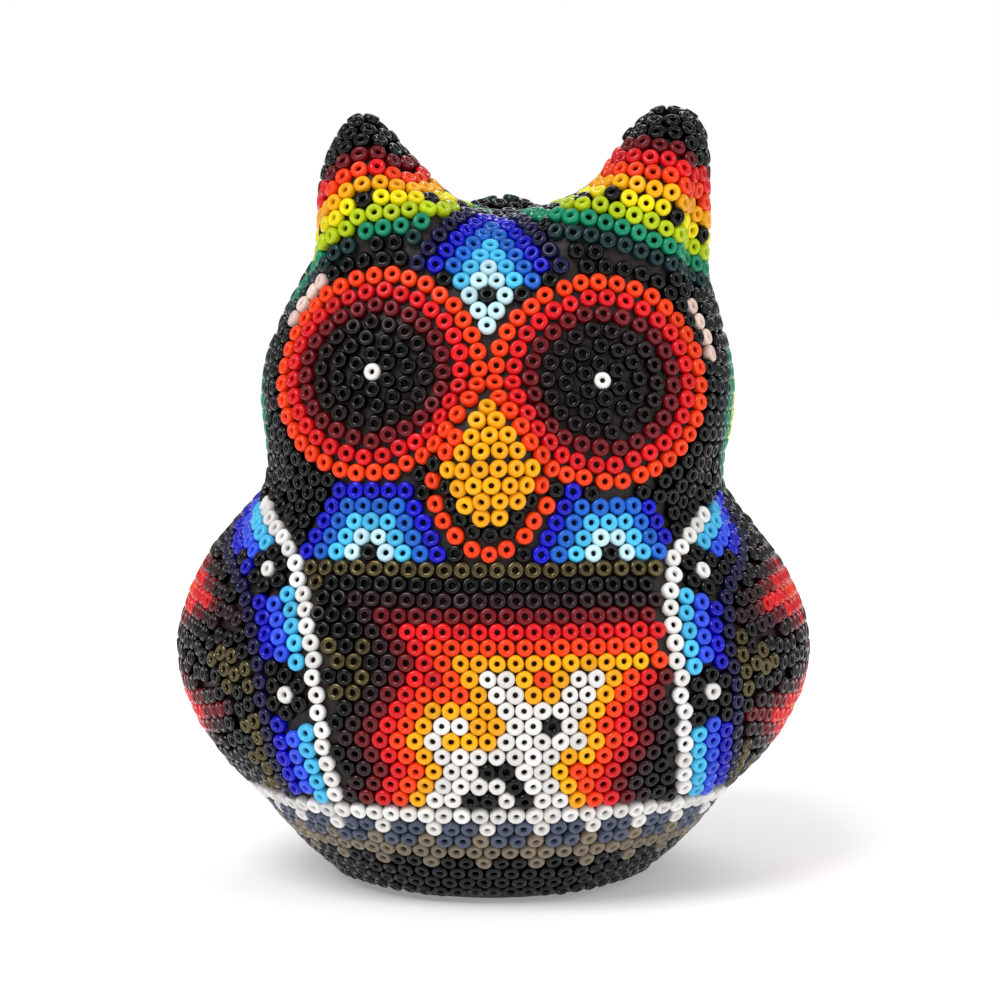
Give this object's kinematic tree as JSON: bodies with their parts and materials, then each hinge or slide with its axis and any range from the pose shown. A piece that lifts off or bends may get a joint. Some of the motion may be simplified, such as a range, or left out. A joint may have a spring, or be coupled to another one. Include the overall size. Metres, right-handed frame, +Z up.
{
  "type": "beaded owl figure",
  "caption": "Small standing owl figure: a carved wooden core coated in wax, covered all over with small glass beads set hole outwards in bands of colour.",
  "frame": {"origin": "middle of the bounding box at the flat foot", "axes": "+Z up, the owl faces -Y, +X to the right of a viewer in front of it"},
  "size_m": [0.0829, 0.0759, 0.0987],
  "materials": {
    "glass_white": "gloss, opaque",
    "glass_black": "gloss, opaque",
    "glass_gold": "gloss, opaque",
    "glass_orange": "gloss, opaque",
    "glass_red": "gloss, nearly opaque",
    "glass_maroon": "gloss, translucent",
    "glass_yellow": "gloss, opaque",
    "glass_green": "gloss, opaque",
    "glass_blue": "gloss, opaque",
    "glass_slate": "gloss, translucent",
    "glass_taupe": "gloss, translucent",
    "glass_bronze": "metallic lustre",
    "beeswax": "satin",
    "wood": "raw"
  },
  "bodies": {
    "root": {"core": "wood", "wax_coat": "beeswax", "beak_gold_field": "glass_gold", "beak_black_rim": "glass_black", "beak_orange_rim": "glass_orange", "eye_left_pupil_bead": "glass_white", "eye_left_black_field": "glass_black", "eye_left_maroon_ring": "glass_maroon", "eye_left_red_ring": "glass_red", "eye_left_orange_ring": "glass_orange", "eye_right_pupil_bead": "glass_white", "eye_right_black_field": "glass_black", "eye_right_maroon_ring": "glass_maroon", "eye_right_red_ring": "glass_red", "eye_right_orange_ring": "glass_orange", "forehead_blue_diamond": "glass_blue", "ear_left_black_tip": "glass_black", "ear_left_red_band": "glass_red", "ear_left_yellow_band": "glass_yellow", "ear_left_green_band": "glass_green", "ear_right_black_tip": "glass_black", "ear_right_red_band": "glass_red", "ear_right_yellow_band": "glass_yellow", "ear_right_green_band": "glass_green", "foot_black_ring": "glass_black", "foot_taupe_ring": "glass_taupe", "foot_slate_ring": "glass_slate", "foot_white_ring": "glass_white", "wing_left_white_line": "glass_white", "wing_left_upper_flower": "glass_black", "wing_left_lower_flower": "glass_black", "wing_left_upper_blue_band": "glass_blue", "wing_left_middle_blue_band": "glass_blue", "wing_left_lower_blue_band": "glass_blue", "wing_right_white_line": "glass_white", "wing_right_upper_flower": "glass_black", "wing_right_lower_flower": "glass_black", "wing_right_upper_blue_band": "glass_blue", "wing_right_middle_blue_band": "glass_blue", "wing_right_lower_blue_band": "glass_blue", "cheek_left_blue_fan": "glass_blue", "cheek_right_blue_fan": "glass_blue", "breast_bronze_row": "glass_bronze", "breast_white_motif": "glass_white", "breast_yellow_halo": "glass_gold", "breast_orange_halo": "glass_orange", "breast_red_halo": "glass_red", "breast_black_field": "glass_black", "wing_left_upper_sun": "glass_red", "wing_left_lower_sun": "glass_red", "wing_left_black_field": "glass_black", "wing_right_upper_sun": "glass_red", "wing_right_lower_sun": "glass_red", "wing_right_black_field": "glass_black", "back_red_flower": "glass_red", "back_blue_flower_ring": "glass_blue", "back_black_field": "glass_black", "head_back_blue_diamond": "glass_blue", "chin_black_field": "glass_black", "head_black_field": "glass_black"}
  },
  "joints": []
}
